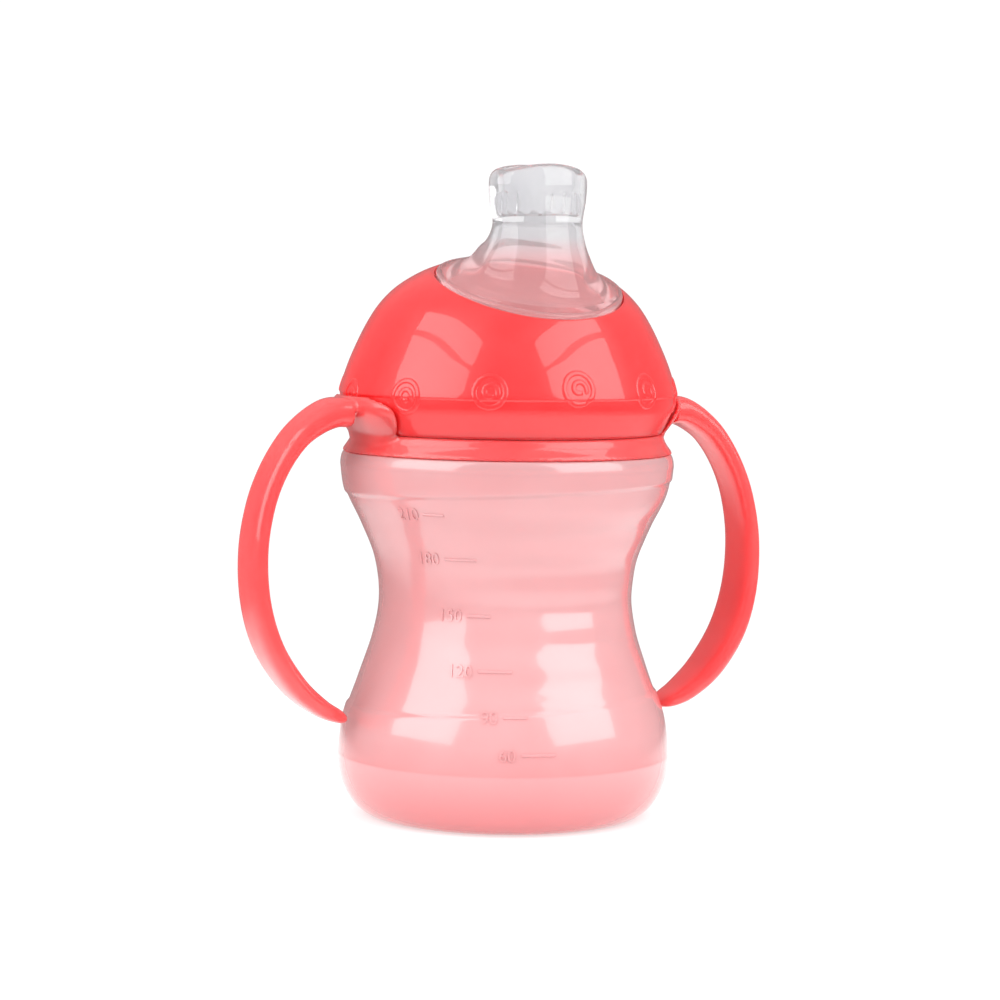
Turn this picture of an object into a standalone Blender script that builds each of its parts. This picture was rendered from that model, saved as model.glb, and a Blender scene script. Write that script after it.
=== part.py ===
"""Two-handled sippy cup with a screw-on hood and a soft silicone spout.

Run with: blender --background --python part.py

The cup stands on z = 0 with its axis on Z. The handles lie along X and the
drinking side faces -Y. Dimensions are millimetres and become metres where the
points are made. Four mouldings make the cup: the body, the handle ring that
sits on its shoulder, the hood that screws down over the ring onto the neck,
and the spout whose flange is the seal between the neck's rim and the hood.
"""
import math

import bmesh
import bpy
from mathutils import Matrix, Vector

MM = 0.001
COLLECTION_NAME = "sippy_cup"

SEGMENTS = 40              # facets round every turned piece
GAP = 0.3                  # running gap between pieces that touch

# Cup body
BODY_RADIUS = 37.6
BODY_TOP_Z = 79.3          # where the hourglass reaches its upper full radius
WAIST_RADIUS = 29.0
WAIST_Z = 49.5
WALL = 1.6
SHOULDER_Z = 82.2          # flat ledge that the handle ring sits on
SHOULDER_EDGE = 1.0        # how far the shoulder leans in above the hourglass
BASE_CORNER_Z = 14.0       # height of the rounded corner at the base
FOOT_INNER_RADIUS = 24.0
FOOT_OUTER_RADIUS = 28.5
BASE_DISH = 1.2            # rise of the base inside the foot ring
FLOOR_Z = 3.0

# Neck and screw thread
NECK_RADIUS = 31.0
NECK_WALL = 2.0
RIM_Z = 97.5
THREAD_PITCH = 4.0
THREAD_DEPTH = 1.6
THREAD_SINK = 0.6          # how far a thread ridge is rooted in its wall
THREAD_ROOT = 2.0          # height of a ridge at its wall
THREAD_CREST = 0.9         # height of a ridge at its tip
NECK_THREAD_TURNS = 1.25
NECK_THREAD_START_Z = 90.2
HOOD_THREAD_TURNS = 1.0
THREAD_FADE_STEPS = 4      # facets over which a ridge runs out

# Hood
HOOD_BOTTOM_Z = 86.8
HOOD_BORE = NECK_RADIUS + THREAD_DEPTH + 0.5
LEDGE_Z = 100.1            # underside of the ledge that presses the flange
LEDGE_BORE = 31.4
DOME_WALL = 2.0
DOME_INNER_START_Z = 108.3
HOOD_OUTLINE = [           # radius, height, from the crown to the tucked skirt
    (0.0, 126.4), (9.3, 125.7), (17.7, 123.4), (24.2, 119.9), (28.6, 115.9),
    (32.0, 110.8), (35.4, 103.6), (37.5, 97.6), (38.0, 94.9), (37.6, 92.3),
    (36.1, 89.4), (34.6, HOOD_BOTTOM_Z),
]

# Tilted aperture in the hood, and the spout that fills it
APERTURE_CENTRE = Vector((0.0, -10.8, 119.9))
APERTURE_RADIUS = 21.2
APERTURE_TILT = 18.5       # degrees, towards the drinking side
APERTURE_REACH = 8.0       # how far below the dome the round cut runs
SPOUT_Y = -14.7            # axis of the spout's head
SPOUT_TOP_Z = 146.4
HEAD_CROWN = 1.6           # how much lower the head's top is at its two ends
FLANGE_THICKNESS = 2.0
SKIRT_TOP_DEPTH = 2.8      # where the skirt leaves the aperture's wall
CONE_FOOT_RADIUS = 15.0
CONE_FOOT_DEPTH = 1.6
FLANGE_RADIUS = HOOD_BORE - 0.4
SILICONE_WALL = 1.8
MEMBRANE_Z = 134.9         # floor of the recess in the head
MEMBRANE_THICKNESS = 1.3
SLIT_LENGTH = 6.0
SLIT_WIDTH = 0.35
SPOUT_SEGMENTS = 36

# Handle ring
RING_TOP_Z = HOOD_BOTTOM_Z - GAP
WING_HALF_ANGLE = 26.0     # degrees, at its widest
WING_WIDEST_Z = 91.5
WING_TOP_Z = 95.0
WING_NARROWING = 0.45      # share of its width that it loses at the foot and the top
WING_CLEARANCE = 0.5       # to the hood, which turns inside the wings
WING_FOOT_THICKNESS = 0.9
WING_THICKNESS = 2.2
ARM_WIDTH = 13.0
ARM_ROUNDNESS = 3.0        # exponent of the arm's section, 2 is an ellipse
ARM_SECTION_POINTS = 16
ARM_CENTRELINE = [         # radius, height, half thickness, share of the width
    (39.6, 91.4, 3.3, 1.12), (42.8, 91.2, 3.2, 1.06), (47.2, 89.0, 2.8, 0.98),
    (51.6, 85.2, 2.4, 0.94), (55.8, 78.8, 2.2, 0.93), (58.8, 71.0, 2.15, 0.95),
    (60.4, 61.0, 2.15, 1.0), (59.8, 50.0, 2.25, 1.04), (56.8, 40.0, 2.4, 1.06),
    (51.3, 31.6, 2.4, 1.02), (45.4, 26.4, 2.1, 0.9), (41.0, 24.1, 1.6, 0.72),
    (38.9, 23.2, 0.8, 0.4),
]

CORAL = (0.93, 0.10, 0.11)
PINK = (0.98, 0.52, 0.53)
HANDLE_CORAL = (0.96, 0.14, 0.14)
CLEAR = (0.90, 0.90, 0.92)


# ---------------------------------------------------------------- outlines

def smooth(points, per_span=3):
    """Points of a curve that runs through all the given points (Catmull-Rom)."""
    padded = [points[0]] + list(points) + [points[-1]]
    result = []
    for a, b, c, d in zip(padded, padded[1:], padded[2:], padded[3:]):
        for step in range(per_span):
            t = step / per_span
            result.append(tuple(
                0.5 * (2 * q + (r - p) * t + (2 * p - 5 * q + 4 * r - s) * t ** 2
                       + (3 * q - p - 3 * r + s) * t ** 3)
                for p, q, r, s in zip(a, b, c, d)))
    result.append(tuple(points[-1]))
    return result


def arc(centre, radii, start, end, steps):
    """Points of an elliptical arc, angles in degrees from the +X direction."""
    angles = [math.radians(start + (end - start) * i / steps) for i in range(steps + 1)]
    return [(centre[0] + radii[0] * math.cos(a), centre[1] + radii[1] * math.sin(a))
            for a in angles]


def inset(points, distance):
    """The outline moved inwards: to the right of its downward run."""
    moved = []
    for i, (x, z) in enumerate(points):
        before = points[max(i - 1, 0)]
        after = points[min(i + 1, len(points) - 1)]
        dx, dz = after[0] - before[0], after[1] - before[1]
        length = math.hypot(dx, dz)
        moved.append((x + dz / length * distance, z - dx / length * distance))
    return moved


def radius_at(outline, height):
    """Radius of a downward outline at a height."""
    for (r0, z0), (r1, z1) in zip(outline, outline[1:]):
        if z1 <= height <= z0:
            return r0 + (r1 - r0) * (z0 - height) / (z0 - z1)
    return outline[-1][0]


# ----------------------------------------------------------------- objects

def clear_scene():
    for old in list(bpy.data.objects):
        bpy.data.objects.remove(old, do_unlink=True)


def new_collection(name):
    collection = bpy.data.collections.new(name)
    bpy.context.scene.collection.children.link(collection)
    return collection


def plastic(name, colour, roughness, transmission=0.0):
    """A Principled material with the piece's colour and finish."""
    material = bpy.data.materials.new(name)
    material.use_nodes = True
    shader = material.node_tree.nodes["Principled BSDF"]
    shader.inputs["Base Color"].default_value = (*colour, 1.0)
    shader.inputs["Roughness"].default_value = roughness
    shader.inputs["Metallic"].default_value = 0.0
    shader.inputs["Transmission Weight"].default_value = transmission
    material.diffuse_color = (*colour, 1.0)
    return material


def add_object(name, mesh, collection, material=None):
    thing = bpy.data.objects.new(name, mesh)
    collection.objects.link(thing)
    if material:
        mesh.materials.append(material)
    return thing


def turned(name, outline, collection, material=None, closed=False):
    """A shape turned about Z from an outline that runs down its outer side."""
    mesh = bpy.data.meshes.new(name)
    vertices = [(r * MM, 0.0, z * MM) for r, z in outline]
    edges = [(i, i + 1) for i in range(len(vertices) - 1)]
    if closed:
        edges.append((len(vertices) - 1, 0))
    mesh.from_pydata(vertices, edges, [])
    thing = add_object(name, mesh, collection, material)
    screw = thing.modifiers.new("turn", "SCREW")
    screw.axis = "Z"
    screw.steps = screw.render_steps = SEGMENTS
    screw.use_merge_vertices = True
    screw.merge_threshold = 0.00001
    screw.use_smooth_shade = True
    return thing


def lofted(name, rings, collection, material=None):
    """A closed body through rings of equal length, with a flat cap at each end."""
    work = bmesh.new()
    rows = [[work.verts.new(Vector(p) * MM) for p in ring] for ring in rings]
    for row, following in zip(rows, rows[1:]):
        for i in range(len(row)):
            j = (i + 1) % len(row)
            work.faces.new((row[i], row[j], following[j], following[i]))
    work.faces.new(rows[0][::-1])
    work.faces.new(rows[-1])
    bmesh.ops.recalc_face_normals(work, faces=work.faces)
    mesh = bpy.data.meshes.new(name)
    work.to_mesh(mesh)
    work.free()
    mesh.shade_smooth()
    return add_object(name, mesh, collection, material)


def combine(target, tool, operation):
    """Join a tool to a piece, or cut it away; the tool itself stays hidden."""
    boolean = target.modifiers.new(tool.name, "BOOLEAN")
    boolean.operation = operation
    boolean.solver = "EXACT"
    boolean.object = tool
    tool.hide_render = True
    tool.display_type = "WIRE"


# ----------------------------------------------------------------- threads

def thread_rings(wall_radius, outwards, start_z, turns):
    """Sections of a ridge that winds up a wall and runs out at both ends."""
    side = 1.0 if outwards else -1.0
    steps = round(SEGMENTS * turns)
    rings = []
    for step in range(steps + 1):
        fade = min(1.0, (step + 0.5) / THREAD_FADE_STEPS, (steps - step + 0.5) / THREAD_FADE_STEPS)
        angle = 2 * math.pi * step / SEGMENTS
        middle = start_z + THREAD_PITCH * step / SEGMENTS
        root = wall_radius - side * THREAD_SINK
        crest = wall_radius + side * THREAD_DEPTH * fade
        section = [(root, -THREAD_ROOT / 2), (root, THREAD_ROOT / 2),
                   (crest, THREAD_CREST / 2 * fade), (crest, -THREAD_CREST / 2 * fade)]
        rings.append([(r * math.cos(angle), r * math.sin(angle), middle + z) for r, z in section])
    return rings


# ---------------------------------------------------------------- cup body

def body_outline():
    """Outer side of the cup below its shoulder, from the top down."""
    edge_centre = (BODY_RADIUS - SHOULDER_EDGE, BODY_TOP_Z)
    edge = arc(edge_centre, (SHOULDER_EDGE, SHOULDER_Z - BODY_TOP_Z), 90, 0, 4)
    hourglass = smooth([
        (BODY_RADIUS, BODY_TOP_Z), (36.6, 73.2), (33.2, 66.0), (30.1, 58.2),
        (WAIST_RADIUS, WAIST_Z), (30.3, 41.0), (33.6, 31.0), (36.6, 22.2),
        (BODY_RADIUS, BASE_CORNER_Z)], 2)
    corner_radii = (BODY_RADIUS - FOOT_OUTER_RADIUS, BASE_CORNER_Z)
    corner = arc((FOOT_OUTER_RADIUS, BASE_CORNER_Z), corner_radii, 0, -90, 7)
    return edge[:-1] + hourglass + corner[1:]


def cup_outline():
    """Whole section: up the inside from the floor, over the rim, down the outside."""
    bore = NECK_RADIUS - NECK_WALL
    inside = [p for p in inset(body_outline(), WALL)
              if BASE_CORNER_Z < p[1] < SHOULDER_Z - WALL - SHOULDER_EDGE]
    floor_radii = (BODY_RADIUS - WALL - FOOT_OUTER_RADIUS, BASE_CORNER_Z - FLOOR_Z)
    floor_corner = arc((FOOT_OUTER_RADIUS, BASE_CORNER_Z), floor_radii, -90, 0, 5)
    ceiling_z = SHOULDER_Z - WALL
    ceiling = [(BODY_RADIUS - WALL - SHOULDER_EDGE, ceiling_z), (bore + 0.6, ceiling_z),
               (bore, ceiling_z + 0.6)]
    rim = arc((NECK_RADIUS - NECK_WALL / 2, RIM_Z - 0.5), (NECK_WALL / 2, 0.5), 180, 0, 4)
    neck_foot = [(NECK_RADIUS, SHOULDER_Z + 0.8), (NECK_RADIUS + 0.8, SHOULDER_Z)]
    base = [(FOOT_INNER_RADIUS, 0.0), (FOOT_INNER_RADIUS - 1.5, BASE_DISH), (0.0, BASE_DISH)]
    return ([(0.0, FLOOR_Z)] + floor_corner + inside[::-1] + ceiling + rim + neck_foot
            + body_outline() + base)


def make_cup(collection, tools):
    cup = turned("cup_body", cup_outline(), collection, plastic("cup_body", PINK, 0.25, 0.4))
    rings = thread_rings(NECK_RADIUS, True, NECK_THREAD_START_Z, NECK_THREAD_TURNS)
    combine(cup, lofted("neck_thread", rings, tools), "UNION")
    return cup


# ------------------------------------------------------------- handle ring

def collar_outline():
    """Closed section of the band that sits on the cup's shoulder."""
    bottom = SHOULDER_Z + GAP
    return [(HOOD_BORE, RING_TOP_Z), (35.1, RING_TOP_Z), (35.5, bottom + 2.7), (36.5, bottom + 1.3),
            (37.2, bottom + 0.4), (37.0, bottom), (HOOD_BORE, bottom)]


def wing_half_angle(height, foot):
    """Half the wing's width, in degrees: a lobe, narrower at its foot and its top."""
    span = WING_TOP_Z - WING_WIDEST_Z if height > WING_WIDEST_Z else WING_WIDEST_Z - foot
    share = abs(height - WING_WIDEST_Z) / span
    return WING_HALF_ANGLE * (1 - WING_NARROWING * share ** 2.5)


def wing_rings(side):
    """Level sections of the flared wing that backs an arm, outside the hood's skirt."""
    outline = smooth(HOOD_OUTLINE)
    foot = SHOULDER_Z + GAP + 1.5
    levels = 9
    stations = 8
    rings = []
    for level in range(levels + 1):
        z = foot + (WING_TOP_Z - foot) * level / levels
        inner = radius_at(outline, max(z, HOOD_BOTTOM_Z)) + WING_CLEARANCE
        half = math.radians(wing_half_angle(z, foot))
        rise = min(1.0, (z - foot) / (WING_WIDEST_Z - foot))
        thickness = WING_FOOT_THICKNESS + (WING_THICKNESS - WING_FOOT_THICKNESS) * rise
        thickness *= 1 - 0.5 * (level / levels) ** 6
        strip = []
        for station in range(stations + 1):
            share = 2 * station / stations - 1
            strip.append((half * share, inner + thickness * (1 - 0.6 * share ** 4)))
        back = [(half * (1 - 2 * station / stations), inner) for station in range(stations + 1)]
        rings.append([(side * r * math.cos(a), r * math.sin(a), z) for a, r in strip + back])
    return rings


def arm_rings(side):
    """Sections of the curved arm, square to its centreline, from root to tip."""
    line = smooth(ARM_CENTRELINE, 2)
    rings = []
    for i, (r, z, half, share) in enumerate(line):
        before = line[max(i - 1, 0)]
        after = line[min(i + 1, len(line) - 1)]
        along = Vector((after[0] - before[0], after[1] - before[1])).normalized()
        across = Vector((-along.y, along.x))
        ring = []
        for k in range(ARM_SECTION_POINTS):
            angle = 2 * math.pi * k / ARM_SECTION_POINTS
            c, s = math.cos(angle), math.sin(angle)
            width = math.copysign(abs(c) ** (2 / ARM_ROUNDNESS), c) * ARM_WIDTH / 2 * share
            depth = math.copysign(abs(s) ** (2 / ARM_ROUNDNESS), s) * half
            ring.append((side * (r + across.x * depth), width, z + across.y * depth))
        rings.append(ring)
    return rings


def make_handle_ring(collection, tools):
    material = plastic("handle_ring", HANDLE_CORAL, 0.3)
    ring = turned("handle_ring", collar_outline(), collection, material, closed=True)
    for side, label in ((1, "right"), (-1, "left")):
        combine(ring, lofted(label + "_wing", wing_rings(side), tools), "UNION")
        combine(ring, lofted(label + "_arm", arm_rings(side), tools), "UNION")
    return ring


# -------------------------------------------------------------------- hood

def hood_section():
    """Whole section: down the outside of the dome, then up its inside."""
    outside = smooth(HOOD_OUTLINE, 2)
    dome = [p for p in inset(outside, DOME_WALL) if p[1] > DOME_INNER_START_Z]
    inside = [(HOOD_BORE, HOOD_BOTTOM_Z), (HOOD_BORE, LEDGE_Z), (LEDGE_BORE, LEDGE_Z),
              (LEDGE_BORE, DOME_INNER_START_Z)]
    return outside + inside + dome[::-1]


def aperture_matrix():
    tilt = Matrix.Rotation(math.radians(APERTURE_TILT), 4, "X")
    return Matrix.Translation(APERTURE_CENTRE) @ tilt


def aperture_rings():
    """The round cutter, from just inside the dome to well above it."""
    place = aperture_matrix()
    rings = []
    for depth in (-APERTURE_REACH, 20.0):
        ring = []
        for k in range(SEGMENTS):
            angle = 2 * math.pi * k / SEGMENTS
            edge = (APERTURE_RADIUS * math.cos(angle), APERTURE_RADIUS * math.sin(angle), depth)
            ring.append(place @ Vector(edge))
        rings.append(ring)
    return rings


def make_hood(collection, tools):
    hood = turned("screw_hood", hood_section(), collection, plastic("screw_hood", CORAL, 0.25))
    start_z = NECK_THREAD_START_Z - THREAD_PITCH / 2
    rings = thread_rings(HOOD_BORE, False, start_z, HOOD_THREAD_TURNS)
    combine(hood, lofted("hood_thread", rings, tools), "UNION")
    combine(hood, lofted("aperture", aperture_rings(), tools), "DIFFERENCE")
    return hood


# ------------------------------------------------------------------- spout

def spout_ring(y, z, half_x, half_y, tilt, crown=0.0):
    """One oval section of the spout, tilted towards the drinking side."""
    slope = math.radians(tilt)
    ring = []
    for k in range(SPOUT_SEGMENTS):
        angle = 2 * math.pi * k / SPOUT_SEGMENTS
        across = half_x * math.cos(angle)
        along = half_y * math.sin(angle)
        height = z + along * math.sin(slope) - crown * math.cos(angle) ** 2
        ring.append((across, y + along * math.cos(slope), height))
    return ring


def aperture_ring(radius, depth):
    """A circular section parallel to the aperture, below it by depth."""
    centre = aperture_matrix() @ Vector((0, 0, -depth))
    return spout_ring(centre.y, centre.z, radius, radius, APERTURE_TILT)


def spout_rings():
    """Sections from the recess floor, over the outside, to the membrane's underside."""
    fit = APERTURE_RADIUS - GAP
    recess = [(SPOUT_Y, MEMBRANE_Z, 7.6, 4.4, 0), (SPOUT_Y, 141.0, 7.9, 4.7, 0),
              (SPOUT_Y, 144.9, 8.3, 5.1, 0, HEAD_CROWN),
              (SPOUT_Y, SPOUT_TOP_Z - 0.3, 9.2, 5.9, 0, HEAD_CROWN)]
    outside = smooth([
        (SPOUT_Y, SPOUT_TOP_Z, 10.0, 6.8, 0, HEAD_CROWN), (SPOUT_Y, 145.5, 10.9, 7.6, 0, HEAD_CROWN),
        (SPOUT_Y, 142.4, 11.3, 7.9, 0, 0), (SPOUT_Y, 138.4, 11.1, 7.9, 0, 0),
        (SPOUT_Y, 133.4, 10.2, 8.4, 1, 0), (-14.2, 129.6, 11.0, 9.9, 7, 0),
        (-13.4, 126.8, 12.5, 12.0, 14, 0), (-12.7, 124.2, 14.4, 14.2, 18, 0),
        (-11.9, 122.3, 16.8, 16.6, 21, 0), (-11.2, 121.1, 19.2, 19.1, 20, 0),
        (APERTURE_CENTRE.y, APERTURE_CENTRE.z, fit, fit, APERTURE_TILT, 0),
    ], 2)
    flange_z = RIM_Z + GAP
    skirt = [aperture_ring(fit - 0.2, SKIRT_TOP_DEPTH)]
    skirt += [spout_ring(0, z, r, r, 0) for r, z in (
        (LEDGE_BORE - 1.2, flange_z + FLANGE_THICKNESS), (FLANGE_RADIUS, flange_z + FLANGE_THICKNESS),
        (FLANGE_RADIUS, flange_z), (LEDGE_BORE - 1.2 - SILICONE_WALL, flange_z))]
    skirt += [aperture_ring(fit - SILICONE_WALL, SKIRT_TOP_DEPTH + 0.6),
              aperture_ring(CONE_FOOT_RADIUS, CONE_FOOT_DEPTH)]
    channel = [(-12.9, 121.9, 12.3, 12.2, 19), (-13.6, 125.3, 11.1, 10.4, 13), (-14.3, 129.0, 9.4, 8.2, 7),
               (SPOUT_Y, MEMBRANE_Z - MEMBRANE_THICKNESS, 8.5, 6.2, 0)]
    return ([spout_ring(*s) for s in recess + outside] + skirt
            + [spout_ring(*s) for s in channel])


def slit_rings():
    """A thin flat cutter that passes right through the membrane."""
    half_x, half_y = SLIT_LENGTH / 2, SLIT_WIDTH / 2
    corners = [(-half_x, -half_y), (half_x, -half_y), (half_x, half_y), (-half_x, half_y)]
    levels = (MEMBRANE_Z - MEMBRANE_THICKNESS - 1.0, MEMBRANE_Z + 1.0)
    return [[(x, SPOUT_Y + y, z) for x, y in corners] for z in levels]


def make_spout(collection, tools):
    spout = lofted("spout", spout_rings(), collection, plastic("spout", CLEAR, 0.15, 0.9))
    combine(spout, lofted("valve_slit", slit_rings(), tools), "DIFFERENCE")
    return spout


def main():
    clear_scene()
    parts = new_collection(COLLECTION_NAME)
    tools = new_collection("cutters")
    make_cup(parts, tools)
    make_handle_ring(parts, tools)
    make_hood(parts, tools)
    make_spout(parts, tools)


main()
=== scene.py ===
"""The looks of the two-handled sippy cup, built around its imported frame.

Each of the four mouldings gets one fine mesh that stands for its CAD node: the
cup body, the handle ring, the screw hood and the silicone spout. Sizes are
millimetres and become metres where the points are made. The cup's axis is Z,
the handles lie along X and the drinking side faces -Y.
"""
import math

import bmesh
import bpy
from mathutils import Matrix, Vector


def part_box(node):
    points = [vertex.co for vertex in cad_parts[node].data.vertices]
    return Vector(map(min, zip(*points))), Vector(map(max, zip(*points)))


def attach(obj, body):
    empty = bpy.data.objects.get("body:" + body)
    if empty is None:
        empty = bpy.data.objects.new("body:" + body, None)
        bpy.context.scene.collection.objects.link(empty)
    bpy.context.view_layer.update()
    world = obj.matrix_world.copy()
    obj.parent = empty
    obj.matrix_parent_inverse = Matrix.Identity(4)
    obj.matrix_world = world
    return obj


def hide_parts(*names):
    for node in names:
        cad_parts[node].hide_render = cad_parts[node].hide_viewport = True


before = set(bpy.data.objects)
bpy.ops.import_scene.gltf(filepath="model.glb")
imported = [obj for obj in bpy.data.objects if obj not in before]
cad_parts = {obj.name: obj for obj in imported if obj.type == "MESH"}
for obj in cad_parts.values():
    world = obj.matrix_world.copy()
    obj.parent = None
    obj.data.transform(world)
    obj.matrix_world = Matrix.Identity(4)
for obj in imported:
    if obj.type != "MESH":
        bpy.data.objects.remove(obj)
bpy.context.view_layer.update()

MM = 0.001
GAP = 0.3                  # running gap between pieces that touch


def top(node):
    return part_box(node)[1].z / MM


def bottom(node):
    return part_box(node)[0].z / MM


# Cup body
RIM_Z = top("cup_body")
BODY_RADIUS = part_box("cup_body")[1].x / MM
BODY_TOP_Z = RIM_Z - 18.2
SHOULDER_Z = RIM_Z - 15.3
WALL = 1.6
SHOULDER_EDGE = 1.0        # how far the shoulder leans in above the hourglass
CEILING_EDGE = 2.0
BASE_CORNER_Z = 14.0
FOOT_INNER_RADIUS = 24.0
FOOT_OUTER_RADIUS = 28.5
FOOT_EDGE = 0.8
BASE_DISH = 1.2
FLOOR_Z = 3.0
FLOOR_MIDDLE = 8.0         # radii inside which the floor and the dish are plain fans
DISH_MIDDLE = 6.0
CUP_SEGMENTS = 192
FOOT_DEPTH = 20.0          # how far up the deeper colour of the foot reaches
WAIST_POINTS = [           # radius, height, down the hourglass
    (BODY_RADIUS, BODY_TOP_Z), (36.6, 73.2), (33.2, 66.0), (30.1, 58.2), (29.0, 49.5),
    (30.3, 41.0), (33.6, 31.0), (36.6, 22.2), (BODY_RADIUS, BASE_CORNER_Z),
]

# Neck and screw thread
NECK_RADIUS = 31.0
NECK_WALL = 2.0
RIM_EDGE = 0.6
NECK_FOOT_EDGE = 0.9       # hollow rounding where the neck meets the shoulder
NECK_INNER_EDGE = 1.0
THREAD_PITCH = 4.0
THREAD_DEPTH = 1.6
THREAD_SINK = 0.6
THREAD_ROOT = 2.0
THREAD_CREST = 0.9
THREAD_ROUNDING = 0.25     # height of the rounding between its flank and its crest
THREAD_FLANK = 0.12        # and how much wider it is there, on each side
NECK_THREAD_START_Z = 90.2
NECK_THREAD_TURNS = 1.25
HOOD_THREAD_TURNS = 1.0

# Hood
HOOD_BOTTOM_Z = bottom("screw_hood")
HOOD_BORE = NECK_RADIUS + THREAD_DEPTH + 0.5
BORE_CHAMFER = 0.3
LEDGE_Z = 100.1
LEDGE_THICKNESS = 4.0
LEDGE_BORE = 31.4
DOME_WALL = 2.0
DOME_INNER_START_Z = 108.3
DOME_LATITUDE = 35.0       # radius where the rings round the aperture have turned level
DOME_STEPS = 40
HOOD_OUTLINE = [           # radius, height, from the crown to the tucked skirt
    (0.0, 126.4), (9.3, 125.7), (17.7, 123.4), (24.2, 119.9), (28.6, 115.9), (32.0, 110.8),
    (35.4, 103.6), (37.5, 97.6), (38.0, 94.9), (37.6, 92.3), (36.1, 89.4), (34.6, HOOD_BOTTOM_Z),
]
HOOD_SEGMENTS = 240
HOOD_STEP = 0.3            # how far the skirt is set in below the dome
HOOD_STEP_Z = 95.5
HOOD_STEP_WIDTH = 0.35
HOOD_STEP_END = 0.5        # height above the lower edge where the step has faded out
HOOD_STEP_FADE = 4.0
HOOD_LOWER_EDGE = 0.2

# Aperture and spout
APERTURE_CENTRE = Vector((0.0, -10.8, 119.9))
APERTURE_RADIUS = 21.2
APERTURE_TILT = 18.5       # degrees, towards the drinking side
APERTURE_EDGE = 0.5        # rounding of its outer edge
SPOUT_SEGMENTS = 160
SPOUT_Y = -14.7
SPOUT_TOP_Z = top("spout")
HEAD_CROWN = 1.6
FLANGE_THICKNESS = 2.0
FLANGE_RADIUS = HOOD_BORE - 0.4
FLANGE_EDGE = 0.3
CONE_CLEARANCE = 1.2       # between the spout's cone and the hood's ledge
SKIRT_TOP_DEPTH = 2.8      # how far below the aperture the skirt widens into the cone
CONE_TOP_RADIUS = 17.4     # where the inside of the cone meets the channel
CONE_TOP_DEPTH = 2.0
SILICONE_WALL = 1.8
MEMBRANE_Z = 134.9
MEMBRANE_THICKNESS = 1.3
SLIT_LENGTH = 6.0
SLIT_WIDTH = 0.35
RECESS_FLUTES = 16
PAINTED_HOOD_LIGHT_Z = 123.0            # below here the silicone has the most painted light: the hood's red light, painted into its colour
PAINTED_HOOD_LIGHT_TOP_Z = 130.5

# Handle ring
SEAM = 0.07                # visible seam above and below the ring, at its faces
RING_TOP_Z = HOOD_BOTTOM_Z - SEAM
RING_BOTTOM_Z = SHOULDER_Z + SEAM
RING_VOXEL = 0.45          # fineness at which the ring, the wings and the arms are blended
RING_SEGMENTS = 240
COLLAR_TOP = [             # radius, depth below the ring's top, across it
    (HOOD_BORE + 0.2, 0.0), (34.0, 0.0), (34.8, 0.0), (35.1, 0.5),
]
COLLAR_FLARE = [           # radius, height above the ring's foot, down its outside and under it
    (35.5, 2.7), (36.0, 1.9), (36.4, 1.3), (36.8, 0.8), (37.1, 0.3), (37.1, 0.0), (34.0, 0.0),
]
WING_HALF_ANGLE = 26.0
WING_FOOT_Z = SHOULDER_Z + GAP + 1.5
WING_WIDEST_Z = 91.5
WING_TOP_Z = 95.0
WING_NARROWING = 0.45
WING_CLEARANCE = 0.36
WING_FOOT_THICKNESS = 0.9
WING_THICKNESS = 1.9
WING_TOP_THINNING = 0.5    # shares of its thickness lost at its top and at its sides
WING_SIDE_THINNING = 0.6
ARM_WIDTH = 13.0
ARM_ROUNDNESS = 3.0
ARM_CENTRELINE = [         # radius, height, half thickness, share of the width
    (39.6, 91.4, 3.3, 1.12), (42.8, 91.2, 3.2, 1.06), (47.2, 89.0, 2.8, 0.98),
    (51.6, 85.2, 2.4, 0.94), (55.8, 78.8, 2.2, 0.93), (58.8, 71.0, 2.15, 0.95),
    (60.4, 61.0, 2.15, 1.0), (59.8, 50.0, 2.25, 1.04), (56.8, 40.0, 2.4, 1.06),
    (51.3, 31.6, 2.4, 1.02), (45.4, 26.4, 2.1, 0.9), (41.0, 24.1, 1.6, 0.72),
    (38.9, 23.2, 0.8, 0.4),
]

# Relief
MEDALLIONS = 12
MEDALLION_Z = 96.4
MEDALLION_WAVE = 1.5       # how much higher they sit at the front and the back
MEDALLION_RADIUS = 3.4
CURL_RADIUS = 1.9
CURL_START = -35.0         # degrees, where the curl inside a ring begins
CURL_TURN = 360.0
CURL_TIGHTENING = 0.62     # share of its radius lost by its end
RELIEF_HALF_WIDTH = 0.62
RELIEF_HEIGHT = 0.22
RELIEF_END = 0.45          # an open ridge's size at its end, as a share of the whole
RELIEF_SWELL = 0.3         # and how much it gains at each point from there
GRIP_DEPTH = 0.42          # how far the waist's grip zone is set in
GRIP_EDGE = 0.9            # width of the step at its edge
GRIP_TOP_Z = 74.5
GRIP_TOP_TILT = 1.7        # how far its upper line rises and falls at its sides
GRIP_TOP_DIP = 15.0        # how far its upper line dips at the back
GRIP_BOTTOM_Z = 27.0
GRIP_BOTTOM_TILT = 1.8
GRIP_FRONT = -114.0        # degrees from +X, the middle of its front
RIB_HEIGHT = 0.22          # soft ribs across the right of the grip zone
RIB_PITCH = 8.2
RIB_AZIMUTH = -86.0        # degrees from +X, where they are deepest
SCALE_VOLUMES = (60, 90, 120, 150, 180, 210)   # millilitres
SCALE_AZIMUTH = -12.0      # degrees from -Y, of the lowest mark
SCALE_DRIFT = -0.26        # degrees per millilitre
NUMERAL_HEIGHT = 2.7
NUMERAL_SHARE = 0.7        # a numeral's height as a share of its text size
NUMERAL_SPACE = 1.2        # between a numeral and its mark
LONG_MARK = 7.5
SHORT_MARK = 5.2
MARK_HALF_WIDTH = 0.3
MARK_HEIGHT = 0.28
MARK_ROOT = -0.5           # height of its underside, which is sunk in the wall

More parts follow.
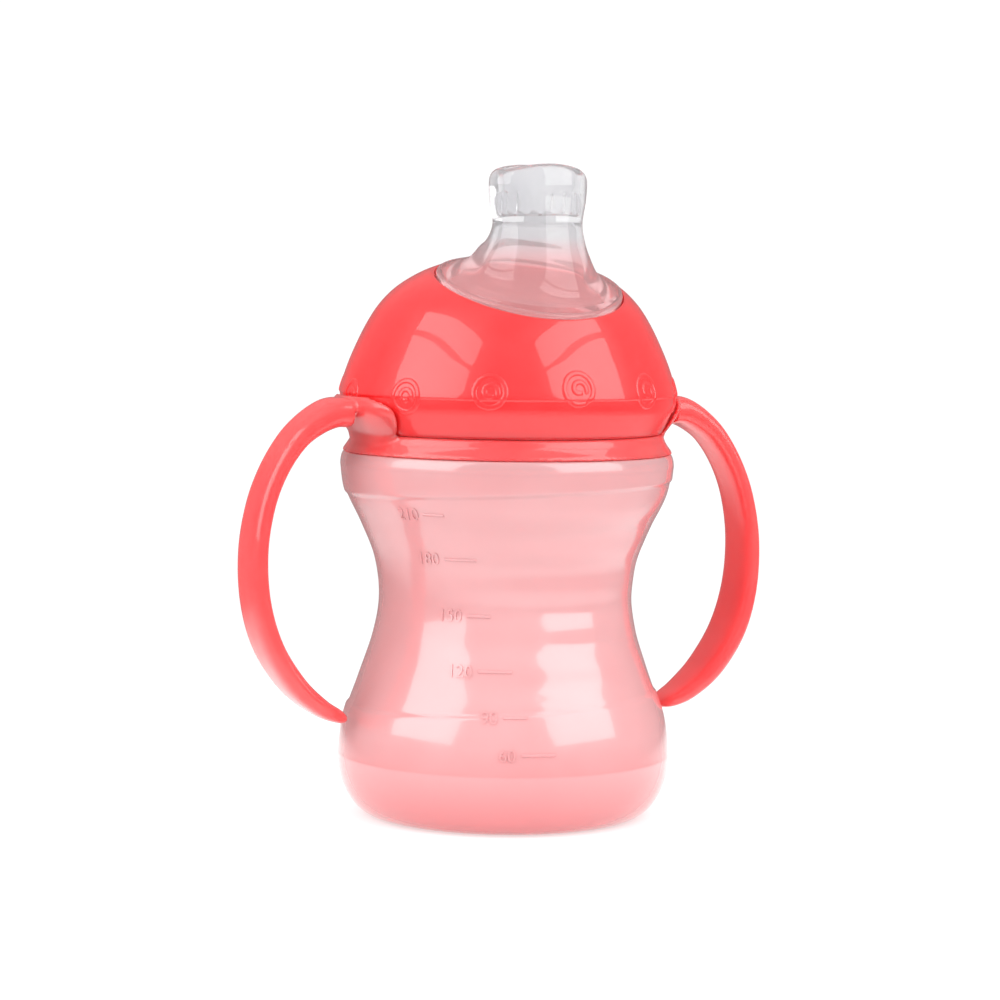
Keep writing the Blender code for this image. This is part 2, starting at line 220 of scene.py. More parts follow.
# Colours, most of them as a dark and a light one that the material runs between
CUP_COLOURS = ((0.99, 0.55, 0.56), (1.0, 0.60, 0.61))
CUP_FOOT_COLOUR = (1.0, 0.30, 0.31)
CUP_DEPTH_COLOUR = (1.0, 0.35, 0.36)       # what thick plastic lets through
HANDLE_COLOURS = ((0.80, 0.055, 0.06), (0.86, 0.075, 0.075))
HOOD_COLOURS = ((0.82, 0.02, 0.024), (0.88, 0.028, 0.031))
SILICONE_COLOURS = ((0.76, 0.76, 0.78), (0.86, 0.86, 0.87))
# painted light: the hood's red light seen through the clear silicone, painted in as a colour
PAINTED_HOOD_LIGHT_COLOUR = (1.0, 0.62, 0.63)
FLOOR_COLOURS = ((0.5, 0.5, 0.5), (0.54, 0.54, 0.54))
WHITE = (1.0, 1.0, 1.0)

# Stage
CAMERA_AZIMUTH = -24.0     # degrees round from -Y
CAMERA_DISTANCE = 0.725
CAMERA_HEIGHT = 0.127
CAMERA_AIM_HEIGHT = 0.0712
CAMERA_ROLL = 0.8
CAMERA_LENS = 115.9
CAMERA_SHIFT = -0.0065
FLOOR_REACH = 0.26         # metres, where the floor has faded out
FLOOR_GLOW = 0.55
BACKDROP = 1.05            # what the camera sees directly
SEEN_THROUGH = (0.7, 1.1)  # what clear pieces show: to the sides, ahead and behind
ROOM = (0.92, 1.4)         # what lights the cup: from the sides, from overhead
REFLECTED = (0.36, 0.8)    # what it reflects: at the sides, overhead
REFLECTED_TINT = (1.0, 0.68, 0.68)
OVERHEAD_SPAN = (0.2, 0.95)     # upward share of a ray, from the sides' level to overhead's
AHEAD_SPAN = (0.3, 0.75)        # share of it along the camera's line, in the same way
PANE_RADIANCE = 2.7
PANE_DISTANCE = 0.9
PANE_AIM_HEIGHT = 0.09
PANE_OFFSET = 60.0              # degrees either side of the camera
LOWER_PANE = (22.5, 0.85, 0.58)  # elevation in degrees, width and height in metres
UPPER_PANE = (48.0, 0.8, 0.17)


# ---------------------------------------------------------------- outlines

def smooth(points, per_span):
    """Points of a curve that runs through all the given points (Catmull-Rom)."""
    padded = [points[0]] + list(points) + [points[-1]]
    result = []
    for a, b, c, d in zip(padded, padded[1:], padded[2:], padded[3:]):
        for step in range(per_span):
            t = step / per_span
            result.append(tuple(
                0.5 * (2 * q + (r - p) * t + (2 * p - 5 * q + 4 * r - s) * t ** 2
                       + (3 * q - p - 3 * r + s) * t ** 3)
                for p, q, r, s in zip(a, b, c, d)))
    result.append(tuple(points[-1]))
    return result


def arc(centre, radii, start, end, steps):
    """Points of an elliptical arc, angles in degrees from the +X direction."""
    angles = [math.radians(start + (end - start) * i / steps) for i in range(steps + 1)]
    return [(centre[0] + radii[0] * math.cos(a), centre[1] + radii[1] * math.sin(a))
            for a in angles]


def straight(start, end, steps):
    """Points along a straight run, without its last one."""
    return [tuple(p + (q - p) * i / steps for p, q in zip(start, end)) for i in range(steps)]


def inset(points, distance):
    """The outline moved inwards: to the right of its downward run."""
    moved = []
    for i, (x, z) in enumerate(points):
        before = points[max(i - 1, 0)]
        after = points[min(i + 1, len(points) - 1)]
        dx, dz = after[0] - before[0], after[1] - before[1]
        length = math.hypot(dx, dz)
        moved.append((x + dz / length * distance, z - dx / length * distance))
    return moved


def radius_at(outline, height):
    """Radius of a downward outline at a height."""
    for (r0, z0), (r1, z1) in zip(outline, outline[1:]):
        if z1 <= height <= z0 and z0 > z1:
            return r0 + (r1 - r0) * (z0 - height) / (z0 - z1)
    return outline[-1][0]


def height_at(outline, radius):
    """Height of a dome's outline, which starts at its crown, at a radius."""
    for (r0, z0), (r1, z1) in zip(outline, outline[1:]):
        if r0 <= radius <= r1:
            return z0 + (z1 - z0) * (radius - r0) / (r1 - r0)
    return outline[0][1]


# ------------------------------------------------------------------ meshes

def add_object(name, mesh, material=None):
    thing = bpy.data.objects.new(name, mesh)
    bpy.context.scene.collection.objects.link(thing)
    if material:
        mesh.materials.append(material)
    return thing


def strip_mesh(name, rings, closed=False, poles=(None, None)):
    """A mesh through rings of equal length, closed on itself or with a pole at each end."""
    count = len(rings[0])
    points = [tuple(Vector(p) * MM) for ring in rings for p in ring]
    faces = []
    rows = len(rings)
    for row in range(rows if closed else rows - 1):
        following = (row + 1) % rows
        for i in range(count):
            j = (i + 1) % count
            faces.append((row * count + i, row * count + j,
                          following * count + j, following * count + i))
    for pole, row in zip(poles, (0, rows - 1)):
        if pole is None:
            continue
        points.append(tuple(Vector(pole) * MM))
        tip = len(points) - 1
        faces += [(tip, row * count + i, row * count + (i + 1) % count) for i in range(count)]
    mesh = bpy.data.meshes.new(name)
    mesh.from_pydata(points, [], faces)
    work = bmesh.new()
    work.from_mesh(mesh)
    bmesh.ops.recalc_face_normals(work, faces=work.faces)
    work.to_mesh(mesh)
    work.free()
    return mesh


def centre_of(ring):
    return sum((Vector(p) for p in ring), Vector()) / len(ring)


def revolved(outline, segments):
    """Rings of an outline turned about Z."""
    angles = [2 * math.pi * i / segments for i in range(segments)]
    return [[(r * math.cos(a), r * math.sin(a), z) for a in angles] for r, z in outline]


def joined(name, meshes):
    """One mesh of several separate shells."""
    work = bmesh.new()
    for mesh in meshes:
        work.from_mesh(mesh)
    result = bpy.data.meshes.new(name)
    work.to_mesh(result)
    work.free()
    return result


def baked(thing):
    """Replaces a piece's mesh with its evaluated one, modifiers included."""
    bpy.context.view_layer.update()
    graph = bpy.context.evaluated_depsgraph_get()
    mesh = bpy.data.meshes.new_from_object(thing.evaluated_get(graph))
    thing.modifiers.clear()
    thing.data = mesh


def combine(target, tool_mesh, operation):
    """Joins a closed mesh to a piece, or cuts it away."""
    tool = add_object("tool", tool_mesh)
    boolean = target.modifiers.new("boolean", "BOOLEAN")
    boolean.operation = operation
    boolean.solver = "EXACT"
    boolean.object = tool
    baked(target)
    bpy.data.objects.remove(tool, do_unlink=True)


def finish_piece(thing, body, node, material, sharp=35):
    """Shades a piece, gives it its material and ties it to the frame."""
    thing.data.materials.clear()
    thing.data.materials.append(material)
    thing.data.shade_smooth()
    thing.data.set_sharp_from_angle(angle=math.radians(sharp))
    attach(thing, body)
    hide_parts(node)


def thread_mesh(wall_radius, outwards, start_z, turns):
    """A rounded ridge that winds up a wall and runs out at both ends."""
    side = 1.0 if outwards else -1.0
    per_turn = 120
    steps = round(per_turn * turns)
    fade_steps = 12
    rings = []
    for step in range(steps + 1):
        fade = min(1.0, (step + 0.5) / fade_steps, (steps - step + 0.5) / fade_steps)
        fade = math.sin(fade * math.pi / 2)
        angle = 2 * math.pi * step / per_turn
        middle = start_z + THREAD_PITCH * step / per_turn
        root = wall_radius - side * THREAD_SINK
        crest = wall_radius + side * THREAD_DEPTH * fade
        shoulder = wall_radius + side * (THREAD_DEPTH - THREAD_ROUNDING) * fade
        half = THREAD_CREST / 2 * fade
        flank = half + THREAD_FLANK * fade
        section = [(root, -THREAD_ROOT / 2), (root, THREAD_ROOT / 2), (shoulder, flank),
                   (crest, half * 0.6), (crest, -half * 0.6), (shoulder, -flank)]
        rings.append([(r * math.cos(angle), r * math.sin(angle), middle + z) for r, z in section])
    return strip_mesh("thread", rings, poles=(centre_of(rings[0]), centre_of(rings[-1])))


def ridge_mesh(path, surface, closed):
    """A low rounded ridge along a path of (angle, height) on a turned surface."""
    sides = 10
    points = [Vector(surface(angle, z)) for angle, z in path]
    count = len(points)
    rings = []
    for i, point in enumerate(points):
        angle, z = path[i]
        before = points[i - 1] if closed or i else points[0]
        after = points[(i + 1) % count] if closed or i < count - 1 else points[-1]
        along = (after - before).normalized()
        around = Vector((-math.sin(angle), math.cos(angle), 0.0))
        up = Vector(surface(angle, z + 0.2)) - Vector(surface(angle, z - 0.2))
        outwards = around.cross(up).normalized()
        across = outwards.cross(along).normalized()
        shrink = 1.0 if closed else min(1.0, RELIEF_END + RELIEF_SWELL * min(i, count - 1 - i))
        ring = []
        for k in range(sides):
            turn = 2 * math.pi * k / sides
            ring.append(point + across * (RELIEF_HALF_WIDTH * shrink * math.cos(turn))
                        + outwards * (RELIEF_HEIGHT * shrink * math.sin(turn)))
        rings.append(ring)
    if closed:
        return strip_mesh("ridge", rings, closed=True)
    return strip_mesh("ridge", rings, poles=(centre_of(rings[0]), centre_of(rings[-1])))


# --------------------------------------------------------------- materials

def new_material(name):
    material = bpy.data.materials.new(name)
    material.use_nodes = True
    return material, material.node_tree.nodes, material.node_tree.links


def noise(nodes, links, scale, detail=3.0, roughness=0.5):
    """A noise pattern fixed to the piece; scale is in features per metre."""
    place = nodes.new("ShaderNodeTexCoord")
    pattern = nodes.new("ShaderNodeTexNoise")
    pattern.inputs["Scale"].default_value = scale
    pattern.inputs["Detail"].default_value = detail
    pattern.inputs["Roughness"].default_value = roughness
    links.new(place.outputs["Object"], pattern.inputs["Vector"])
    return pattern.outputs["Fac"]


def spread(nodes, links, source, low, high, start=0.3, stop=0.7):
    """A pattern's values spread over a range."""
    node = nodes.new("ShaderNodeMapRange")
    node.inputs["From Min"].default_value = start
    node.inputs["From Max"].default_value = stop
    node.inputs["To Min"].default_value = low
    node.inputs["To Max"].default_value = high
    links.new(source, node.inputs["Value"])
    return node.outputs["Result"]


def shade(nodes, links, source, dark, light):
    """A colour that runs between two with a pattern."""
    node = nodes.new("ShaderNodeMix")
    node.data_type = "RGBA"
    node.inputs["A"].default_value = (*dark, 1.0)
    node.inputs["B"].default_value = (*light, 1.0)
    links.new(source, node.inputs["Factor"])
    return node.outputs["Result"]


def bump(nodes, links, source, strength, distance):
    node = nodes.new("ShaderNodeBump")
    node.inputs["Strength"].default_value = strength
    node.inputs["Distance"].default_value = distance
    links.new(source, node.inputs["Height"])
    return node.outputs["Normal"]


def blended(nodes, links, colour, other, full_z, none_z):
    """A colour that goes over to another between two heights."""
    place = nodes.new("ShaderNodeTexCoord")
    split = nodes.new("ShaderNodeSeparateXYZ")
    links.new(place.outputs["Object"], split.inputs["Vector"])
    height = spread(nodes, links, split.outputs["Z"], 1.0, 0.0, full_z * MM, none_z * MM)
    node = nodes.new("ShaderNodeMix")
    node.data_type = "RGBA"
    node.inputs["B"].default_value = (*other, 1.0)
    links.new(height, node.inputs["Factor"])
    links.new(colour, node.inputs["A"])
    return node.outputs["Result"]


def moulded_plastic(name, dark, light, roughness, transmission, ior=1.49):
    """A glossy moulded plastic: faint flow marks in its colour, a fine grain in its gloss."""
    material, nodes, links = new_material(name)
    shader = nodes["Principled BSDF"]
    flow = spread(nodes, links, noise(nodes, links, scale=45.0), 0.0, 1.0)
    links.new(shade(nodes, links, flow, dark, light), shader.inputs["Base Color"])
    grain = noise(nodes, links, scale=180.0, detail=2.0)
    gloss = spread(nodes, links, grain, roughness * 0.85, roughness * 1.15)
    links.new(gloss, shader.inputs["Roughness"])
    waves = noise(nodes, links, scale=70.0, detail=1.0)
    links.new(bump(nodes, links, waves, strength=0.25, distance=0.0001), shader.inputs["Normal"])
    shader.inputs["IOR"].default_value = ior
    shader.inputs["Transmission Weight"].default_value = transmission
    shader.inputs["Coat Weight"].default_value = 0.8
    shader.inputs["Coat Roughness"].default_value = 0.04
    return material


def tinted_plastic(name, dark, light):
    """The same plastic, clear and tinted: it lets light through and is deeper where it is thick."""
    material = moulded_plastic(name, dark, light, roughness=0.2, transmission=0.5, ior=1.56)
    nodes, links = material.node_tree.nodes, material.node_tree.links
    shader = nodes["Principled BSDF"]
    colour = shader.inputs["Base Color"].links[0].from_socket
    deeper = blended(nodes, links, colour, CUP_FOOT_COLOUR, 0.0, FOOT_DEPTH)
    links.new(deeper, shader.inputs["Base Color"])
    absorbing = nodes.new("ShaderNodeVolumeAbsorption")
    absorbing.inputs["Color"].default_value = (*CUP_DEPTH_COLOUR, 1.0)
    absorbing.inputs["Density"].default_value = 200.0
    links.new(absorbing.outputs["Volume"], nodes["Material Output"].inputs["Volume"])
    return material


def coral_plastic(name, dark, light):
    """The same plastic with coral pigment, which lets a little red light through."""
    material = moulded_plastic(name, dark, light, roughness=0.35, transmission=0.0)
    shader = material.node_tree.nodes["Principled BSDF"]
    shader.inputs["Subsurface Weight"].default_value = 0.75
    shader.inputs["Subsurface Radius"].default_value = (1.0, 0.25, 0.22)
    shader.inputs["Subsurface Scale"].default_value = 0.008
    return material


def clear_silicone(name):
    """Clear silicone: a light haze, hand marks, and the hood's red light painted into its colour
    round its foot.
    """
    material, nodes, links = new_material(name)
    shader = nodes["Principled BSDF"]
    haze = spread(nodes, links, noise(nodes, links, scale=90.0, detail=4.0), 0.0, 1.0)
    clear = shade(nodes, links, haze, *SILICONE_COLOURS)
    # painted light: the hood's red light through the silicone, painted into its colour, strongest
    # low down
    painted_hood_light = blended(nodes, links, clear, PAINTED_HOOD_LIGHT_COLOUR, PAINTED_HOOD_LIGHT_Z, PAINTED_HOOD_LIGHT_TOP_Z)
    links.new(painted_hood_light, shader.inputs["Base Color"])
    smears = noise(nodes, links, scale=160.0, detail=4.0)
    links.new(spread(nodes, links, smears, 0.02, 0.07), shader.inputs["Roughness"])
    waves = noise(nodes, links, scale=140.0, detail=2.0)
    links.new(bump(nodes, links, waves, strength=0.15, distance=0.0002), shader.inputs["Normal"])
    shader.inputs["IOR"].default_value = 1.41
    shader.inputs["Transmission Weight"].default_value = 0.77
    return material


# ---------------------------------------------------------------- cup body

def grip_share(angle, z):
    """How far a point lies inside the set-in grip zone: 0 outside it, 1 well inside."""
    turn = angle - math.radians(GRIP_FRONT)
    dip = GRIP_TOP_DIP * max(0.0, -math.cos(turn)) ** 1.5
    upper = GRIP_TOP_Z + GRIP_TOP_TILT * math.sin(turn) - dip
    lower = GRIP_BOTTOM_Z + GRIP_BOTTOM_TILT * math.sin(turn)
    inside = min(upper - z, z - lower) / GRIP_EDGE + 0.5
    inside = max(0.0, min(1.0, inside))
    return inside * inside * (3 - 2 * inside)


def grip_depth(angle, z):
    """How deep the grip zone is at a point, with its soft ribs."""
    facing = max(0.0, math.cos(angle - math.radians(RIB_AZIMUTH)))
    rib = RIB_HEIGHT * facing ** 3 * math.cos(2 * math.pi * z / RIB_PITCH)
    return (GRIP_DEPTH + rib) * grip_share(angle, z)


def body_outline(per_span, arc_steps):
    """Outer side of the cup below its shoulder, from the top down to the foot."""
    edge_centre = (BODY_RADIUS - SHOULDER_EDGE, BODY_TOP_Z)
    edge = arc(edge_centre, (SHOULDER_EDGE, SHOULDER_Z - BODY_TOP_Z), 90, 0, 14)
    corner_radii = (BODY_RADIUS - FOOT_OUTER_RADIUS, BASE_CORNER_Z)
    corner = arc((FOOT_OUTER_RADIUS, BASE_CORNER_Z), corner_radii, 0, -90, arc_steps)
    return edge[:-1] + smooth(WAIST_POINTS, per_span) + corner[1:]


CUP_SIDE = body_outline(22, 36)


def cup_inside():
    """The inside, from beside the floor's middle up to the bore under the rim."""
    bore = NECK_RADIUS - NECK_WALL
    wall = [p for p in inset(body_outline(6, 12), WALL)
            if BASE_CORNER_Z < p[1] < SHOULDER_Z - WALL - CEILING_EDGE]
    floor_radii = (BODY_RADIUS - WALL - FOOT_OUTER_RADIUS, BASE_CORNER_Z - FLOOR_Z)
    floor_corner = arc((FOOT_OUTER_RADIUS, BASE_CORNER_Z), floor_radii, -90, 0, 14)
    ceiling_z = SHOULDER_Z - WALL
    corner = arc((BODY_RADIUS - WALL - CEILING_EDGE, ceiling_z - CEILING_EDGE),
                 (CEILING_EDGE, CEILING_EDGE), 0, 90, 6)
    neck_corner = arc((bore + NECK_INNER_EDGE, ceiling_z + NECK_INNER_EDGE),
                      (NECK_INNER_EDGE, NECK_INNER_EDGE), -90, -180, 5)
    floor = straight((FLOOR_MIDDLE, FLOOR_Z), floor_corner[0], 4)
    return floor + floor_corner + wall[::-1] + corner + neck_corner


def scale_heights():
    """Heights at which the cup holds each of the scale's volumes."""
    profile = cup_inside()
    heights = {}
    volume = 0.0
    for (r0, z0), (r1, z1) in zip(profile, profile[1:]):
        slice_ml = math.pi * (r0 * r0 + r0 * r1 + r1 * r1) / 3 * (z1 - z0) / 1000
        for mark in SCALE_VOLUMES:
            if volume < mark <= volume + slice_ml:
                heights[mark] = z0 + (z1 - z0) * (mark - volume) / slice_ml
        volume += slice_ml
    return heights


def cup_surface(angle, z):
    """A point on the cup's outside, the grip zone included."""
    radius = radius_at(CUP_SIDE, z) - grip_depth(angle, z)
    return radius * math.cos(angle), radius * math.sin(angle), z


def on_cup(azimuth, across, z, proud):
    """A point on the cup's outside, across millimetres to the right of an azimuth."""
    radius = radius_at(CUP_SIDE, z)
    angle = math.radians(azimuth - 90.0) + across / radius
    x, y, _ = cup_surface(angle, z)
    return x + proud * math.cos(angle), y + proud * math.sin(angle), z


def tick_mesh(azimuth, start, length, z):
    """A short raised bar across the cup's side."""
    steps = 8
    half = MARK_HALF_WIDTH
    section = [(-half, MARK_ROOT), (half, MARK_ROOT), (half, MARK_HEIGHT * 0.5),
               (half * 0.6, MARK_HEIGHT), (-half * 0.6, MARK_HEIGHT), (-half, MARK_HEIGHT * 0.5)]
    rings = []
    for i in range(steps + 1):
        across = start + length * i / steps
        rings.append([on_cup(azimuth, across, z + dz, proud) for dz, proud in section])
    return strip_mesh("tick", rings, poles=(centre_of(rings[0]), centre_of(rings[-1])))


def numeral_mesh(text, azimuth, start, z):
    """Raised numerals that end at start, bent round the cup's side."""
    curve = bpy.data.curves.new("numeral", "FONT")
    curve.body = text
    curve.size = NUMERAL_HEIGHT / NUMERAL_SHARE
    curve.extrude = 1.0
    curve.resolution_u = 4
    curve.align_x = "RIGHT"
    letters = add_object("numeral", curve)
    bpy.context.view_layer.update()
    graph = bpy.context.evaluated_depsgraph_get()
    mesh = bpy.data.meshes.new_from_object(letters.evaluated_get(graph))
    bpy.data.objects.remove(letters, do_unlink=True)
    work = bmesh.new()
    work.from_mesh(mesh)
    bmesh.ops.remove_doubles(work, verts=work.verts, dist=0.001)
    bmesh.ops.triangulate(work, faces=work.faces)
    for vertex in work.verts:
        x, y, depth = vertex.co
        proud = MARK_HEIGHT if depth > 0 else MARK_ROOT
        place = on_cup(azimuth, start + x, z - NUMERAL_HEIGHT / 2 + y, proud)
        vertex.co = Vector(place) * MM
    bmesh.ops.recalc_face_normals(work, faces=work.faces)
    work.to_mesh(mesh)
    work.free()
    return mesh


def scale_marks():
    """Volume marks with their numerals, up the left of the front and again at the back."""
    marks = []
    for volume, z in scale_heights().items():
        length = LONG_MARK if volume % 60 == 0 else SHORT_MARK
        for side in (0.0, 180.0):
            azimuth = side + SCALE_AZIMUTH + SCALE_DRIFT * (volume - SCALE_VOLUMES[0])
            marks.append(tick_mesh(azimuth, -length / 2, length, z))
            marks.append(numeral_mesh(str(volume), azimuth, -length / 2 - NUMERAL_SPACE, z))
    return marks


def make_cup():
    bore = NECK_RADIUS - NECK_WALL
    rim = arc((bore + NECK_WALL / 2, RIM_Z - RIM_EDGE), (NECK_WALL / 2, RIM_EDGE), 180, 0, 10)
    neck_foot = arc((NECK_RADIUS + NECK_FOOT_EDGE, SHOULDER_Z + NECK_FOOT_EDGE),
                    (NECK_FOOT_EDGE, NECK_FOOT_EDGE), 180, 270, 5)
    neck_inside = straight((bore, SHOULDER_Z + 2.0), rim[0], 3)
    neck_outside = straight((NECK_RADIUS, RIM_Z - 1.5), neck_foot[0], 6)
    foot = arc((FOOT_INNER_RADIUS, BASE_DISH), (FOOT_EDGE, BASE_DISH), -90, -180, 6)
    sole = straight((FOOT_OUTER_RADIUS, 0.0), (FOOT_INNER_RADIUS, 0.0), 3)[1:]
    dish = straight((FOOT_INNER_RADIUS - FOOT_EDGE, BASE_DISH), (DISH_MIDDLE, BASE_DISH), 4)[1:]
    above = cup_inside() + neck_inside + rim + neck_outside + neck_foot
    outline = above + CUP_SIDE + sole + foot + dish + [(DISH_MIDDLE, BASE_DISH)]
    rings = revolved(outline, CUP_SEGMENTS)
    for index in range(len(above), len(above) + len(CUP_SIDE)):
        radius, z = outline[index]
        ring = []
        for x, y, _ in rings[index]:
            scale = 1 - grip_depth(math.atan2(y, x), z) / radius
            ring.append((x * scale, y * scale, z))
        rings[index] = ring
    mesh = strip_mesh("cup_shell", rings, poles=((0, 0, FLOOR_Z), (0, 0, BASE_DISH)))
    cup = add_object("cup_shell", mesh)
    combine(cup, thread_mesh(NECK_RADIUS, True, NECK_THREAD_START_Z, NECK_THREAD_TURNS), "UNION")
    combine(cup, joined("marks", scale_marks()), "UNION")
    finish_piece(cup, "cup", "cup_body", tinted_plastic("cup_plastic", *CUP_COLOURS))


# ------------------------------------------------------------- handle ring

def collar_rings():
    across = [(radius, RING_TOP_Z - depth) for radius, depth in COLLAR_TOP]
    down = [(radius, RING_BOTTOM_Z + height) for radius, height in COLLAR_FLARE]
    bore = [(HOOD_BORE, RING_BOTTOM_Z), (HOOD_BORE, RING_TOP_Z - 0.3)]
    return revolved(across + down + bore, RING_SEGMENTS)


def wing_half_angle(height):
    """Half the wing's width, in degrees: a lobe, narrower at its foot and its top."""
    span = WING_TOP_Z - WING_WIDEST_Z if height > WING_WIDEST_Z else WING_WIDEST_Z - WING_FOOT_Z
    share = abs(height - WING_WIDEST_Z) / span
    return WING_HALF_ANGLE * (1 - WING_NARROWING * share ** 2.5)


def wing_rings(side):
    """Level sections of the flared wing that backs an arm, outside the hood's skirt."""
    outline = smooth(HOOD_OUTLINE, 6)
    levels = 30
    stations = 40
    rings = []
    for level in range(levels + 1):
        z = WING_FOOT_Z + (WING_TOP_Z - WING_FOOT_Z) * level / levels
        inner = radius_at(outline, max(z, HOOD_BOTTOM_Z)) + WING_CLEARANCE
        half = math.radians(wing_half_angle(z))
        rise = min(1.0, (z - WING_FOOT_Z) / (WING_WIDEST_Z - WING_FOOT_Z))
        thickness = WING_FOOT_THICKNESS + (WING_THICKNESS - WING_FOOT_THICKNESS) * rise
        thickness *= 1 - WING_TOP_THINNING * (level / levels) ** 6
        strip = []
        for station in range(stations + 1):
            share = 2 * station / stations - 1
            strip.append((half * share, inner + thickness * (1 - WING_SIDE_THINNING * share ** 4)))
        back = [(half * (1 - 2 * station / stations), inner) for station in range(stations + 1)]
        rings.append([(side * r * math.cos(a), r * math.sin(a), z) for a, r in strip + back])
    return rings


def arm_rings(side):
    """Sections of the curved arm, square to its centreline, from root to tip."""
    line = smooth(ARM_CENTRELINE, 10)
    sides = 48
    rings = []
    for i, (r, z, half, share) in enumerate(line):
        before = line[max(i - 1, 0)]
        after = line[min(i + 1, len(line) - 1)]
        along = Vector((after[0] - before[0], after[1] - before[1])).normalized()
        across = Vector((-along.y, along.x))
        ring = []
        for k in range(sides):
            angle = 2 * math.pi * k / sides
            c, s = math.cos(angle), math.sin(angle)
            width = math.copysign(abs(c) ** (2 / ARM_ROUNDNESS), c) * ARM_WIDTH / 2 * share
            depth = math.copysign(abs(s) ** (2 / ARM_ROUNDNESS), s) * half
            ring.append((side * (r + across.x * depth), width, z + across.y * depth))
        rings.append(ring)
    return rings


def make_handle_ring():
    """The ring, its wings and its arms, grown together with softly blended corners."""
    collar = strip_mesh("handle_ring_shell", collar_rings(), closed=True)
    ring = add_object("handle_ring_shell", collar)
    for side in (1, -1):
        for rings in (wing_rings(side), arm_rings(side)):
            mesh = strip_mesh("limb", rings, poles=(centre_of(rings[0]), centre_of(rings[-1])))
            combine(ring, mesh, "UNION")
    remesh = ring.modifiers.new("remesh", "REMESH")
    remesh.mode = "VOXEL"
    remesh.voxel_size = RING_VOXEL * MM
    remesh.adaptivity = 0.0
    relax = ring.modifiers.new("relax", "SMOOTH")
    relax.factor = 0.5
    relax.iterations = 3
    baked(ring)
    material = coral_plastic("handle_plastic", *HANDLE_COLOURS)
    finish_piece(ring, "handle_ring", "handle_ring", material, sharp=60)


# -------------------------------------------------------------------- hood

def stepped(outline):
    """The hood's outline with the small step where its skirt begins."""
    result = []
    for radius, z in outline:
        below_step = (HOOD_STEP_Z - z) / HOOD_STEP_WIDTH
        above_edge = (z - HOOD_BOTTOM_Z - HOOD_STEP_END) / HOOD_STEP_FADE
        share = max(0.0, min(1.0, below_step, above_edge))
        result.append((radius - HOOD_STEP * share, z))
    return result


OUTER_DOME = stepped(smooth(HOOD_OUTLINE, 14))
INNER_DOME = inset(smooth(HOOD_OUTLINE, 12), DOME_WALL)


def aperture_matrix():
    return Matrix.Translation(APERTURE_CENTRE) @ Matrix.Rotation(math.radians(APERTURE_TILT), 4, "X")


def aperture_point(radius, angle, height):
    edge = (radius * math.cos(angle), radius * math.sin(angle), height)
    return aperture_matrix() @ Vector(edge)


def dome_depth(outline, radius, angle):
    """Height above the aperture's plane at which its round wall meets a dome."""
    low, high = -14.0, 8.0
    for _ in range(30):
        middle = (low + high) / 2
        place = aperture_point(radius, angle, middle)
        if place.z > height_at(outline, math.hypot(place.x, place.y)):
            high = middle
        else:
            low = middle
    return (low + high) / 2


def on_dome(outline, x, y):
    return Vector((x, y, height_at(outline, math.hypot(x, y))))


def dome_rings(outline, edge, latitude_radius, steps):
    """Rings over a dome, from points on the aperture's edge out to a level circle."""
    rings = []
    for step in range(steps + 1):
        share = step / steps
        ring = []
        for i, start in enumerate(edge):
            angle = 2 * math.pi * i / len(edge)
            x = start.x + (latitude_radius * math.cos(angle) - start.x) * share
            y = start.y + (latitude_radius * math.sin(angle) - start.y) * share
            ring.append(on_dome(outline, x, y))
        rings.append(ring)
    return rings


def rounded_edge(edge, outwards, radius, steps):
    """Rings of a rounding between a wall, which falls away from an edge, and a dome."""
    down = aperture_matrix().to_3x3() @ Vector((0, 0, -1))
    rings = []
    for step in range(steps + 1):
        t = step / steps
        ring = []
        for corner, along in zip(edge, outwards):
            start = corner + down * radius
            end = corner + along * radius
            ring.append(start * (1 - t) ** 2 + corner * 2 * t * (1 - t) + end * t ** 2)
        rings.append(ring)
    return rings


def hood_surface(angle, z):
    radius = radius_at(OUTER_DOME, z)
    return radius * math.cos(angle), radius * math.sin(angle), z


def medallion_meshes():
    """Rings with a curl inside, spaced round the hood in a gentle wave."""
    ring_steps = 56
    curl_steps = 36
    meshes = []
    for number in range(MEDALLIONS):
        azimuth = 2 * math.pi * number / MEDALLIONS
        middle = azimuth - math.pi / 2
        z = MEDALLION_Z + MEDALLION_WAVE * math.cos(2 * azimuth)
        radius = radius_at(OUTER_DOME, z)
        ring = []
        for i in range(ring_steps):
            turn = 2 * math.pi * i / ring_steps
            ring.append((middle + MEDALLION_RADIUS * math.cos(turn) / radius,
                         z + MEDALLION_RADIUS * math.sin(turn)))
        curl = []
        for i in range(curl_steps + 1):
            turn = math.radians(CURL_START + CURL_TURN * i / curl_steps)
            reach = CURL_RADIUS * (1 - CURL_TIGHTENING * i / curl_steps)
            curl.append((middle + reach * math.cos(turn) / radius, z + reach * math.sin(turn)))
        meshes.append(ridge_mesh(ring, hood_surface, True))
        meshes.append(ridge_mesh(curl, hood_surface, False))
    return meshes


def aperture_outline(dome):
    """Where the aperture's round wall meets a dome."""
    angles = [2 * math.pi * i / HOOD_SEGMENTS for i in range(HOOD_SEGMENTS)]
    return [aperture_point(APERTURE_RADIUS, a, dome_depth(dome, APERTURE_RADIUS, a)) for a in angles]


